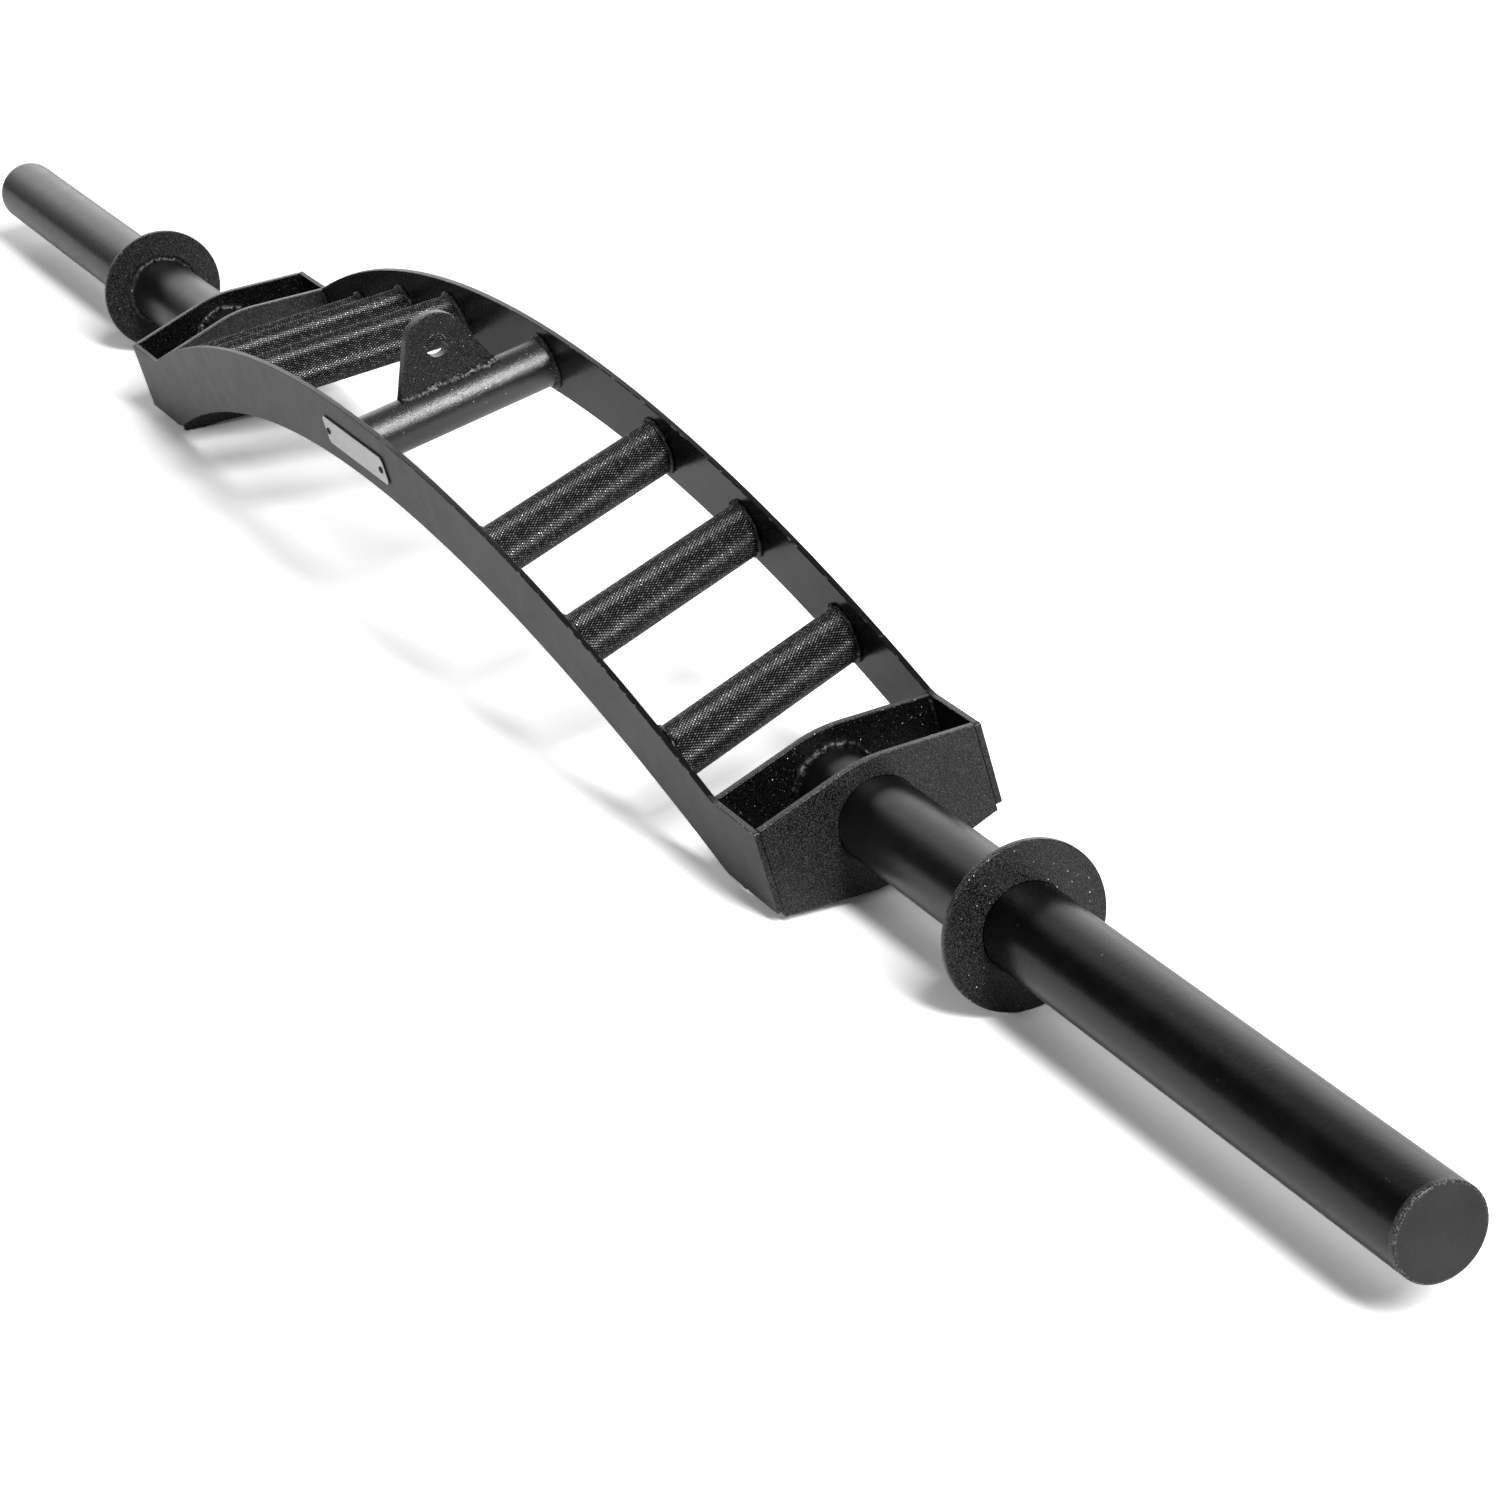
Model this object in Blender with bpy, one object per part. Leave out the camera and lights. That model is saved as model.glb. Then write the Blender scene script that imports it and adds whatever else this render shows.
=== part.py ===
"""An arched barbell with two flat side rails, six cross handles and a round sleeve at each end."""

import bpy
import bmesh
import math
import numpy as np

# Driving dimensions, in metres. X runs along the bar, Y across it, Z up through the arch,
# and the middle of the bar on the line of the sleeves is 0, 0, 0 until the bar is leaned.
gap = 0.0003

sleeveRadius = 0.025
sleeveBore = 0.0195
sleeveEnd = 1.063
capThick = 0.004
capBevel = 0.0009
collarRadius = 0.0473
collarThick = 0.004
collarFace = 0.6975

railThick = 0.0036
railHalfWidth = 0.0715
railEnd = 0.5367
railTop = 0.026
railBottom = -0.0256
archCrown = 0.1253
archRadius = 1.2243
bandHeight = 0.0482
underRadius = 1.1436
valleyFillet = 0.025
edgeBevel = 0.0006
railTopCorner = 0.0012
railLowCorner = 0.0016

plateThick = 0.0048
innerPlateX = 0.4804
plateEdgeTop = 0.0262
plateCrestTop = 0.0364
outerEdgeBottom = -0.0288
outerCrestBottom = -0.0405
innerEdgeBottom = -0.0330
innerCrestBottom = -0.0426
topCrestHalf = 0.014
lowCrestHalf = 0.021

handleRadius = 0.0167
handleX = (0.186, 0.295, 0.404)
handleYaw = math.radians(17)
tubeRadius = 0.0163
tubeZ = 0.0994

lugThick = 0.008
lugHoleHeight = 0.1415
lugHoleRadius = 0.0078
lugTopRadius = 0.0212
lugFoot = 0.034

namePlateLength = 0.105
namePlateHeight = 0.0198
namePlateThick = 0.0012
namePlateCut = 0.0025
namePlateX = 0.0037
namePlateZ = 0.099
rivetSpacing = 0.0932
rivetRadius = 0.0024
rivetHeight = 0.001

handleBead = 0.0042
sleeveBead = 0.0046
tubeBead = 0.004
lugBeadWidth = 0.0048
lugBeadOverhang = 0.0025
cornerBead = 0.0032
cornerBeadInset = 0.002

archCentre = archCrown - archRadius
underCentre = archCrown - bandHeight - underRadius
railInner = railHalfWidth - railThick
outerBottom = (outerEdgeBottom, outerCrestBottom)
innerBottom = (innerEdgeBottom, innerCrestBottom)


def clearScene():
    for old in list(bpy.data.objects):
        bpy.data.objects.remove(old)


def paint(name, colour, roughness, metallic=0.0):
    material = bpy.data.materials.new(name)
    material.use_nodes = True
    shader = material.node_tree.nodes["Principled BSDF"]
    shader.inputs["Base Color"].default_value = (*colour, 1)
    shader.inputs["Roughness"].default_value = roughness
    shader.inputs["Metallic"].default_value = metallic
    material.diffuse_color = (*colour, 1)
    return material


def solid(name, points, faces, material, smoothAngle=35):
    """A closed body from its points and faces, turned outwards, with soft shading below the given angle."""
    mesh = bpy.data.meshes.new(name)
    mesh.from_pydata([tuple(p) for p in points], [], [tuple(f) for f in faces])
    shape = bmesh.new()
    shape.from_mesh(mesh)
    bmesh.ops.remove_doubles(shape, verts=shape.verts, dist=1e-7)
    bmesh.ops.recalc_face_normals(shape, faces=shape.faces)
    shape.to_mesh(mesh)
    shape.free()
    mesh.polygons.foreach_set("use_smooth", [True] * len(mesh.polygons))
    mesh.set_sharp_from_angle(angle=math.radians(smoothAngle))
    mesh.materials.append(material)
    obj = bpy.data.objects.new(name, mesh)
    bpy.context.scene.collection.objects.link(obj)
    return obj


def roundEdges(obj, width, segments=1):
    bevel = obj.modifiers.new("Bevel", "BEVEL")
    bevel.width = width
    bevel.segments = segments
    bevel.limit_method = "ANGLE"
    bevel.angle_limit = math.radians(50)
    bevel.harden_normals = False


def ringFaces(loops, count):
    """Quads between neighbouring loops of points, closing from the last loop to the first."""
    faces = []
    for k in range(loops):
        a = k * count
        b = ((k + 1) % loops) * count
        for i in range(count):
            j = (i + 1) % count
            faces.append((a + i, a + j, b + j, b + i))
    return faces


def turned(name, profile, material, segments=56):
    """A body turned about the X axis. The profile is a closed list of x and radius."""
    angles = np.linspace(0, 2 * math.pi, segments, endpoint=False)
    points = []
    for x, radius in profile:
        for a in angles:
            points.append((x, radius * math.cos(a), radius * math.sin(a)))
    return solid(name, points, ringFaces(len(profile), segments), material)


def disc(name, x0, x1, radius, bevel, material, segments=56):
    """A solid round plate between two x values, with its outer edge eased at x1."""
    angles = np.linspace(0, 2 * math.pi, segments, endpoint=False)
    side = 1 if x1 > x0 else -1
    rows = ((x0, radius), (x1 - side * bevel, radius), (x1 - side * bevel * 0.3, radius - bevel * 0.3))
    rows = rows + ((x1, radius - bevel),)
    points = [(x, r * math.cos(a), r * math.sin(a)) for x, r in rows for a in angles]
    faces = ringFaces(len(rows), segments)[: (len(rows) - 1) * segments]
    faces.append(tuple(range(segments)))
    faces.append(tuple(range((len(rows) - 1) * segments, len(rows) * segments)))
    return solid(name, points, faces, material)


def prism(name, outline, place, material):
    """A flat plate: the outline repeated at two depths. place turns (a, b, 0 or 1) into x, y, z."""
    count = len(outline)
    points = [place(a, b, 0) for a, b in outline] + [place(a, b, 1) for a, b in outline]
    faces = [(i, (i + 1) % count, count + (i + 1) % count, count + i) for i in range(count)]
    faces.append(tuple(range(count)))
    faces.append(tuple(range(count, 2 * count)))
    return solid(name, points, faces, material)


def holedPlate(name, outline, hole, place, material):
    """A flat plate with one hole. Outline and hole have the same number of points."""
    count = len(outline)
    rows = (outline, outline, hole, hole)
    depths = (0, 1, 1, 0)
    points = [place(a, b, d) for row, d in zip(rows, depths) for a, b in row]
    return solid(name, points, ringFaces(4, count), material)


def arc(centre, radius, start, end, count):
    """Points round a circle from one angle to another, in radians."""
    turn = np.linspace(start, end, count)
    return [(centre[0] + radius * math.cos(t), centre[1] + radius * math.sin(t)) for t in turn]


def railOutline():
    """The side view of a rail, as x and z, starting at the right end's lower corner."""
    # The fillet circle touches the level top edge from above and the arch from outside.
    fz = railTop + valleyFillet
    fx = math.sqrt((archRadius + valleyFillet) ** 2 - (fz - archCentre) ** 2)
    meet = math.atan2(fz - archCentre, fx)
    valley = arc((fx, fz), valleyFillet, -math.pi / 2, meet - math.pi, 6)
    crown = arc((0, archCentre), archRadius, meet, math.pi - meet, 41)[1:-1]
    # The lower corner circle touches the level lower edge from above and the inner arc from inside.
    cz = railBottom + valleyFillet
    cx = math.sqrt((underRadius + valleyFillet) ** 2 - (cz - underCentre) ** 2)
    turn = math.atan2(cz - underCentre, cx)
    corner = arc((cx, cz), valleyFillet, turn + math.pi, 1.5 * math.pi, 6)
    under = arc((0, underCentre), underRadius, math.pi - turn, turn, 41)[1:-1]
    low = arc((railEnd - railLowCorner, railBottom + railLowCorner), railLowCorner, -math.pi / 2, 0, 4)
    top = arc((railEnd - railTopCorner, railTop - railTopCorner), railTopCorner, 0, math.pi / 2, 3)
    right = low + top + valley
    left = [(-x, z) for x, z in reversed(right)]
    lowLeft = [(-x, z) for x, z in reversed(corner)]
    return right + crown + left + lowLeft + under + corner


def rail(name, side, material):
    inner = side * railInner
    outer = side * railHalfWidth
    place = lambda x, z, d: (x, outer if d else inner, z)
    obj = prism(name, railOutline(), place, material)
    roundEdges(obj, edgeBevel)
    return obj


def plateOutline(edgeBottom, crestBottom, count=48):
    """Front view of an end plate as y and z: straight slopes with a rounded crest above and below."""
    edge = railInner - gap

    def height(y, top):
        # The roof's point is replaced by a parabola of half width h that meets both straight slopes.
        h = topCrestHalf if top else lowCrestHalf
        crest = plateCrestTop if top else crestBottom
        end = plateEdgeTop if top else edgeBottom
        slope = (crest - end) / (edge - h / 2)
        away = abs(y) - h / 2 if abs(y) > h else y * y / (2 * h)
        return crest - slope * away

    quarter = count // 4
    across = np.linspace(-edge, edge, quarter * 2 - 5)
    lower = [(y, height(y, False)) for y in across]
    upper = [(y, height(y, True)) for y in reversed(across)]
    sideCount = (count - len(lower) - len(upper)) // 2
    up = np.linspace(lower[-1][1], upper[0][1], sideCount + 2)[1:-1]
    right = [(edge, z) for z in up]
    left = [(-edge, z) for z in reversed(up)]
    return lower + right + upper + left


def endPlate(name, x0, x1, material, holed):
    outline = plateOutline(*(outerBottom if holed else innerBottom))
    place = lambda y, z, d: (x1 if d else x0, y, z)
    if holed:
        radius = sleeveRadius + gap
        scale = [radius / math.hypot(y, z) for y, z in outline]
        hole = [(y * s, z * s) for (y, z), s in zip(outline, scale)]
        obj = holedPlate(name, outline, hole, place, material)
    else:
        obj = prism(name, outline, place, material)
    roundEdges(obj, edgeBevel)
    return obj


def frameOf(direction):
    """Two unit vectors square to the direction and to each other."""
    a = np.array(direction, float)
    a = a / np.linalg.norm(a)
    u = np.cross(a, (0.0, 0.0, 1.0))
    u = u / np.linalg.norm(u)
    return a, u, np.cross(a, u)


def onPlane(centre, direction, radius, angle, planeY):
    """Where the line along a round bar's surface meets the plane y = planeY."""
    a, u, w = frameOf(direction)
    start = np.array(centre) + radius * (math.cos(angle) * u + math.sin(angle) * w)
    return start + a * (planeY - start[1]) / a[1]


def crossBar(name, centre, direction, radius, material, segments=40):
    """A round bar between the rails, its ends cut to lie along them."""
    reach = railInner - gap
    angles = np.linspace(0, 2 * math.pi, segments, endpoint=False)
    points = [onPlane(centre, direction, radius, t, y) for y in (-reach, reach) for t in angles]
    faces = ringFaces(2, segments)[:segments]
    faces.append(tuple(range(segments)))
    faces.append(tuple(range(segments, 2 * segments)))
    return solid(name, points, faces, material)


def barBead(name, centre, direction, radius, side, leg, material, segments=28):
    """A weld bead round the end of a cross bar, in the corner between the bar and a rail."""
    a, u, w = frameOf(direction)
    plane = side * (railInner - gap)
    near = radius + gap
    rows = ((near, 0), (near, leg), (near + leg * 0.62, leg * 0.62), (near + leg, 0))
    points = []
    for r, back in rows:
        for t in np.linspace(0, 2 * math.pi, segments, endpoint=False):
            points.append(onPlane(centre, direction, r, t, plane) - a * side * back)
    return solid(name, points, ringFaces(len(rows), segments), material, 50)


def sleeveBeadRing(name, x, toward, material):
    """A weld bead round a sleeve, in the corner between the sleeve and a plate whose face is at x."""
    near = sleeveRadius + gap
    leg = sleeveBead
    start = x + toward * gap
    profile = (
        (start, near),
        (start + toward * leg, near),
        (start + toward * leg * 0.64, near + leg * 0.64),
        (start, near + leg),
    )
    return turned(name, profile, material, 40)


def plateBead(name, x, toward, side, material):
    """An upright weld bead in the corner between an end plate's face at x and a rail's inner face."""
    cornerX = x + toward * gap
    cornerY = side * (railInner - gap)
    legs = ((0, 0), (cornerBead, 0), (cornerBead * 0.62, cornerBead * 0.62), (0, cornerBead))
    place = lambda a, b, d: (
        cornerX + toward * a,
        cornerY - side * b,
        railTop - cornerBeadInset if d else railBottom + cornerBeadInset,
    )
    return prism(name, legs, place, material)


def lug(name, base, material):
    """An upright plate standing on the cross tube, with a round top and one hole."""
    count = 48
    outline = []
    hole = []
    # The sides run from the feet up to touch the round top.
    footY = lugFoot
    footZ = base - lugHoleHeight
    reach = math.hypot(footY, footZ)
    tangent = math.atan2(footZ, footY) + math.acos(lugTopRadius / reach)
    touch = (lugTopRadius * math.cos(tangent), lugTopRadius * math.sin(tangent))
    foot = np.array((footY, footZ))
    sideRun = [tuple(foot * (1 - s) + np.array(touch) * s) for s in np.linspace(0, 1, 8)]
    top = arc((0, 0), lugTopRadius, tangent, math.pi - tangent, 18)
    otherRun = [(-y, z) for y, z in reversed(sideRun)]
    loop = sideRun + top[1:-1] + otherRun
    missing = count - len(loop)
    loop = loop + [(y, footZ) for y in np.linspace(-footY, footY, missing + 2)[1:-1]]
    for y, z in loop:
        outline.append((y, z + lugHoleHeight))
        s = lugHoleRadius / math.hypot(y, z)
        hole.append((y * s, z * s + lugHoleHeight))
    place = lambda y, z, d: (lugThick / 2 if d else -lugThick / 2, y, z)
    obj = holedPlate(name, outline, hole, place, material)
    roundEdges(obj, edgeBevel)
    return obj


def lugBead(name, side, material):
    """A bead along the foot of the lug, filling the corner between its face and the tube."""
    r = tubeRadius + gap
    inner = lugThick / 2 + gap
    outer = inner + lugBeadWidth
    foot = [(x, tubeZ + math.sqrt(r * r - x * x)) for x in np.linspace(inner, outer, 4)]
    top = foot[0][1]
    section = foot + [(inner + lugBeadWidth * 0.75, top + 0.001), (inner, top + lugBeadWidth)]
    points = [(side * x, y, z) for y in (-lugFoot, lugFoot + lugBeadOverhang) for x, z in section]
    count = len(section)
    faces = [(i, (i + 1) % count, count + (i + 1) % count, count + i) for i in range(count)]
    faces.append(tuple(range(count)))
    faces.append(tuple(range(count, 2 * count)))
    return solid(name, points, faces, material, 50)


def namePlate(name, material):
    """A thin plate on the outer face of the front rail, with its corners cut."""
    a = namePlateLength / 2
    b = namePlateHeight / 2
    cut = namePlateCut
    outline = [(a - cut, -b), (a, -b + cut), (a, b - cut), (a - cut, b)]
    outline = outline + [(-x, z) for x, z in reversed(outline)]
    near = -railHalfWidth - gap
    place = lambda x, z, d: (x + namePlateX, near - namePlateThick if d else near, z + namePlateZ)
    return prism(name, outline, place, material)


def rivet(name, x, material):
    """A low round rivet head on the name plate."""
    base = -railHalfWidth - 2 * gap - namePlateThick
    rows = ((0, rivetRadius), (rivetHeight / 2, rivetRadius), (rivetHeight, rivetRadius * 0.7))
    angles = np.linspace(0, 2 * math.pi, 16, endpoint=False)
    points = []
    for depth, r in rows:
        points += [(x + r * math.cos(t), base - depth, namePlateZ + r * math.sin(t)) for t in angles]
    faces = ringFaces(3, 16)[:32]
    faces.append(tuple(range(16)))
    faces.append(tuple(range(32, 48)))
    return solid(name, points, faces, material)


def bandMiddle(x):
    """Height of the middle of the arched band at x."""
    top = archCentre + math.sqrt(archRadius * archRadius - x * x)
    low = underCentre + math.sqrt(underRadius * underRadius - x * x)
    return (top + low) / 2


def leanAngle():
    """The lean at which the frame's lowest point and the collars touch the floor together."""
    ease = edgeBevel / 2
    points = plateOutline(*outerBottom) + plateOutline(*innerBottom)
    points = points + [(-railHalfWidth + ease, railBottom + ease)]
    low, high = 0.0, math.radians(40)
    for step in range(50):
        lean = (low + high) / 2
        depth = max(-y * math.sin(lean) - z * math.cos(lean) for y, z in points)
        low, high = (lean, high) if depth < collarRadius else (low, lean)
    return lean


def standOnFloor():
    """Lean the bar on its front rail, set it down on z = 0 and centre it over the origin."""
    stand = bpy.data.objects.new("stand", None)
    bpy.context.scene.collection.objects.link(stand)
    for obj in bpy.context.scene.objects:
        if obj is not stand:
            obj.parent = stand
    stand.rotation_euler = (leanAngle(), 0, 0)
    bpy.context.view_layer.update()
    graph = bpy.context.evaluated_depsgraph_get()
    low = np.full(3, 1e9)
    high = np.full(3, -1e9)
    for obj in bpy.context.scene.objects:
        if obj.type != "MESH":
            continue
        done = obj.evaluated_get(graph)
        mesh = done.to_mesh()
        co = np.empty(len(mesh.vertices) * 3)
        mesh.vertices.foreach_get("co", co)
        world = np.array(done.matrix_world)
        co = co.reshape(-1, 3) @ world[:3, :3].T + world[:3, 3]
        low = np.minimum(low, co.min(0))
        high = np.maximum(high, co.max(0))
        done.to_mesh_clear()
    stand.location = (0, -(low[1] + high[1]) / 2, -low[2])
    bpy.context.view_layer.update()


clearScene()

satin = paint("satin_black", (0.055, 0.055, 0.057), 0.42)
powder = paint("powder_coat", (0.035, 0.035, 0.037), 0.5)
knurled = paint("knurled_black", (0.028, 0.028, 0.030), 0.45)
beadPaint = paint("weld_bead", (0.05, 0.05, 0.052), 0.4)
bright = paint("plate_metal", (0.75, 0.75, 0.74), 0.3, 1.0)
dark = paint("rivet_black", (0.02, 0.02, 0.02), 0.5)

rail("rail_front", -1, satin)
rail("rail_back", 1, satin)

crossBar("cross_tube", (0, 0, tubeZ), (0, 1, 0), tubeRadius, powder)
lug("lug_plate", tubeZ + tubeRadius + gap, powder)
for side, word in ((1, "right"), (-1, "left")):
    lugBead("weld_lug_" + word, side, beadPaint)
for side, word in ((-1, "front"), (1, "back")):
    barBead("weld_tube_" + word, (0, 0, tubeZ), (0, 1, 0), tubeRadius, side, tubeBead, beadPaint)

namePlate("name_plate", bright)
for side, word in ((1, "right"), (-1, "left")):
    rivet("rivet_" + word, namePlateX + side * rivetSpacing / 2, dark)

for side, word in ((1, "right"), (-1, "left")):
    outer = side * railEnd
    inner = side * innerPlateX
    endPlate("plate_outer_" + word, outer - side * plateThick, outer, powder, True)
    endPlate("plate_inner_" + word, inner, inner + side * plateThick, powder, False)

    start = inner + side * (plateThick + gap)
    stop = side * (sleeveEnd - capThick - gap)
    wall = ((start, sleeveRadius), (stop, sleeveRadius), (stop, sleeveBore), (start, sleeveBore))
    turned("sleeve_" + word, wall, satin, 64)
    capBack = side * (sleeveEnd - capThick)
    disc("end_cap_" + word, capBack, side * sleeveEnd, sleeveRadius, capBevel, satin, 64)

    face = side * collarFace
    back = side * (collarFace - collarThick)
    ease = side * edgeBevel
    flange = (
        (back, sleeveRadius + gap),
        (back, collarRadius - edgeBevel),
        (back + ease, collarRadius),
        (face - ease, collarRadius),
        (face, collarRadius - edgeBevel),
        (face, sleeveRadius + gap),
    )
    turned("collar_" + word, flange, powder, 64)

    sleeveBeadRing("weld_sleeve_inner_" + word, inner + side * plateThick, side, beadPaint)
    sleeveBeadRing("weld_sleeve_outer_" + word, outer - side * plateThick, -side, beadPaint)
    sleeveBeadRing("weld_collar_" + word, back, -side, beadPaint)
    for edge, row in ((-1, "front"), (1, "back")):
        label = word + "_" + row
        plateBead("weld_grip_corner_" + label, inner, -side, edge, beadPaint)
        plateBead("weld_box_corner_" + label, inner + side * plateThick, side, edge, beadPaint)
        plateBead("weld_end_corner_" + label, outer - side * plateThick, -side, edge, beadPaint)

    for x, place in zip(handleX, ("inner", "middle", "outer")):
        centre = (side * x, 0, bandMiddle(x))
        along = (-side * math.sin(handleYaw), math.cos(handleYaw), 0)
        label = word + "_" + place
        crossBar("handle_" + label, centre, along, handleRadius, knurled)
        for end, at in ((-1, "front"), (1, "back")):
            barBead("weld_" + label + "_" + at, centre, along, handleRadius, end, handleBead, beadPaint)

standOnFloor()
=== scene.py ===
import math

import bmesh
import bpy
import numpy as np
from mathutils import Matrix, Vector


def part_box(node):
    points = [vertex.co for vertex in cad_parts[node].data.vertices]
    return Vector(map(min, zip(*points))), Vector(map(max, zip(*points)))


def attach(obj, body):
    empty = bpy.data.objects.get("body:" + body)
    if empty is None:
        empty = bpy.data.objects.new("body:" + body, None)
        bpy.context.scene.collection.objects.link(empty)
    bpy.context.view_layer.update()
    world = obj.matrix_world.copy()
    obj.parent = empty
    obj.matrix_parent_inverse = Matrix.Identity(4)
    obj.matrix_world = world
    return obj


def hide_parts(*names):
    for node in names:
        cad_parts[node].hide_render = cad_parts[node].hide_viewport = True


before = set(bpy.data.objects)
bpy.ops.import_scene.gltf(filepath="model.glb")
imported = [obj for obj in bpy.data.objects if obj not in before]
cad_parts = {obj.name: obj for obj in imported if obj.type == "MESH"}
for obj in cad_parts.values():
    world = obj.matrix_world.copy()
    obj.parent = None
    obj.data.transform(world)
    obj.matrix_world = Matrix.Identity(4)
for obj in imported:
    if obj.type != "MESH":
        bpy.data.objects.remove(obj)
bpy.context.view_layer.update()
print("frame loaded with", len(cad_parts), "nodes")


def centreOf(node):
    # the middle of its box
    low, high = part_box(node)
    return (np.array(low) + np.array(high)) / 2


# The bar's own frame has X along the sleeves, Y across and Z up through the arch.
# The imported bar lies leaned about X, so the lean and the sleeves' line are read from two nodes.
sleeveLine = centreOf("collar_right")
tubeMiddle = centreOf("cross_tube")
lean = math.atan2(sleeveLine[1] - tubeMiddle[1], tubeMiddle[2] - sleeveLine[2])
leanTurn = np.array(((1, 0, 0), (0, math.cos(lean), -math.sin(lean)), (0, math.sin(lean), math.cos(lean))))

touch = {"gap": 0.0003}  # what separate pieces keep between them
rounding = {"steps": 5, "apron": 0.0004, "leastWear": 0.4}  # how rims are stepped, edged and worn


def toFloor(points):
    # turned by the lean about X, then moved onto the sleeves' line
    return points @ leanTurn.T + np.array((0, sleeveLine[1], sleeveLine[2]))


def gridCells(start, rows, cols, wrapRows, wrapCols, swap):
    # each cell of the grid is cut along one diagonal, or along the other where swap says so
    index = start + np.arange(rows * cols).reshape(rows, cols)
    if wrapRows:
        index = np.vstack((index, index[:1]))
    if wrapCols:
        index = np.hstack((index, index[:, :1]))
    a, b, c, d = index[:-1, :-1], index[1:, :-1], index[1:, 1:], index[:-1, 1:]
    if swap is None:
        swap = np.zeros(a.shape, bool)
    swap = swap[..., None]
    one = np.where(swap, np.stack((a, b, d), -1), np.stack((a, b, c), -1))
    two = np.where(swap, np.stack((b, c, d), -1), np.stack((a, c, d), -1))
    return np.concatenate((one.reshape(-1, 3), two.reshape(-1, 3)))


def sheet(points, wrapRows=False, wrapCols=False, edge=0.0, swap=None, glint=0.0):
    # one grid of points in the bar's frame, with how worn each point is and how strong its painted glint is
    rows, cols = points.shape[:2]
    return {
        "points": points,
        "wrap": (wrapRows, wrapCols),
        "edge": np.broadcast_to(edge, (rows, cols)),
        "glint": np.broadcast_to(glint, (rows, cols)),
        "swap": swap,
    }


def closedPiece(name, sheets, material, replaces, sharpAngle=32):
    # the sheets' points are put together, those that coincide are merged, and cells without area go
    points, faces, edge, glint = [], [], [], []
    start = 0
    for s in sheets:
        rows, cols = s["points"].shape[:2]
        points.append(s["points"].reshape(-1, 3))
        edge.append(s["edge"].reshape(-1))
        glint.append(s["glint"].reshape(-1))
        faces.append(gridCells(start, rows, cols, *s["wrap"], s["swap"]))
        start += rows * cols
    points = toFloor(np.concatenate(points))
    edge, glint, faces = np.concatenate(edge), np.concatenate(glint), np.concatenate(faces)
    merged, first, where = np.unique(np.round(points, 7), axis=0, return_index=True, return_inverse=True)
    faces = where.reshape(-1)[faces]
    a, b, c = faces.T
    faces = faces[(a != b) & (b != c) & (c != a)]
    mesh = bpy.data.meshes.new(name)
    mesh.vertices.add(len(merged))
    mesh.vertices.foreach_set("co", merged.astype(np.float32).reshape(-1))
    mesh.loops.add(faces.size)
    mesh.loops.foreach_set("vertex_index", faces.astype(np.int32).reshape(-1))
    mesh.polygons.add(len(faces))
    mesh.polygons.foreach_set("loop_start", np.arange(0, faces.size, 3, dtype=np.int32))
    mesh.update(calc_edges=True)
    for label, values in (("edge", edge), ("glint", glint)):
        layer = mesh.attributes.new(label, "FLOAT", "POINT")
        layer.data.foreach_set("value", values[first].astype(np.float32))
    shape = bmesh.new()
    shape.from_mesh(mesh)
    bmesh.ops.recalc_face_normals(shape, faces=shape.faces)
    shape.to_mesh(mesh)
    shape.free()
    mesh.polygons.foreach_set("use_smooth", np.ones(len(mesh.polygons), bool))
    mesh.set_sharp_from_angle(angle=math.radians(sharpAngle))
    mesh.materials.append(material)
    piece = bpy.data.objects.new(name, mesh)
    bpy.context.scene.collection.objects.link(piece)
    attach(piece, "root")
    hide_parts(*replaces)
    return piece


def secondFinish(piece, material, where):
    # faces picked by their middles and directions get another material
    count = len(piece.data.polygons)
    middle, normal = np.empty(count * 3), np.empty(count * 3)
    piece.data.polygons.foreach_get("center", middle)
    piece.data.polygons.foreach_get("normal", normal)
    piece.data.materials.append(material)
    index = np.empty(count, np.int32)
    piece.data.polygons.foreach_get("material_index", index)
    index[where(middle.reshape(-1, 3), normal.reshape(-1, 3))] = len(piece.data.materials) - 1
    piece.data.polygons.foreach_set("material_index", index)


def quarter(count):
    # sine and cosine over a right angle
    t = np.linspace(0, math.pi / 2, count)
    return np.sin(t), np.cos(t)


def roundedRim(thick, radius):
    # how far in from the outline and how deep each row lies, round a slab's edge from face to face;
    # only the two round corners are worn, not the strip between them
    s, c = quarter(rounding["steps"])
    far = radius + rounding["apron"]
    inset = np.concatenate(((far,), radius * (1 - s), (0, 0), radius * (1 - c), (far,)))
    depth = np.concatenate(((0,), radius * (1 - c), (far, thick - far), thick - radius * (1 - s), (thick,)))
    least = rounding["leastWear"]
    arc = least + (1 - least) * np.sin(np.linspace(0, math.pi, rounding["steps"]))
    worn = np.concatenate(((0,), arc, (0, 0), arc, (0,)))
    return inset, depth, worn


def insetLoop(outline, inset):
    # each point moves in along its two neighbours' mean normal, further at a corner; the inset is one
    # number or one for each point
    ahead = np.roll(outline, -1, 0) - outline
    ahead /= np.linalg.norm(ahead, axis=1, keepdims=True)
    behind = np.roll(ahead, 1, 0)
    inward = np.stack((-ahead[:, 1], ahead[:, 0]), -1)
    before = np.stack((-behind[:, 1], behind[:, 0]), -1)
    mean = (inward + before) / (1 + (inward * before).sum(1, keepdims=True))
    return outline + mean * inset


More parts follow.
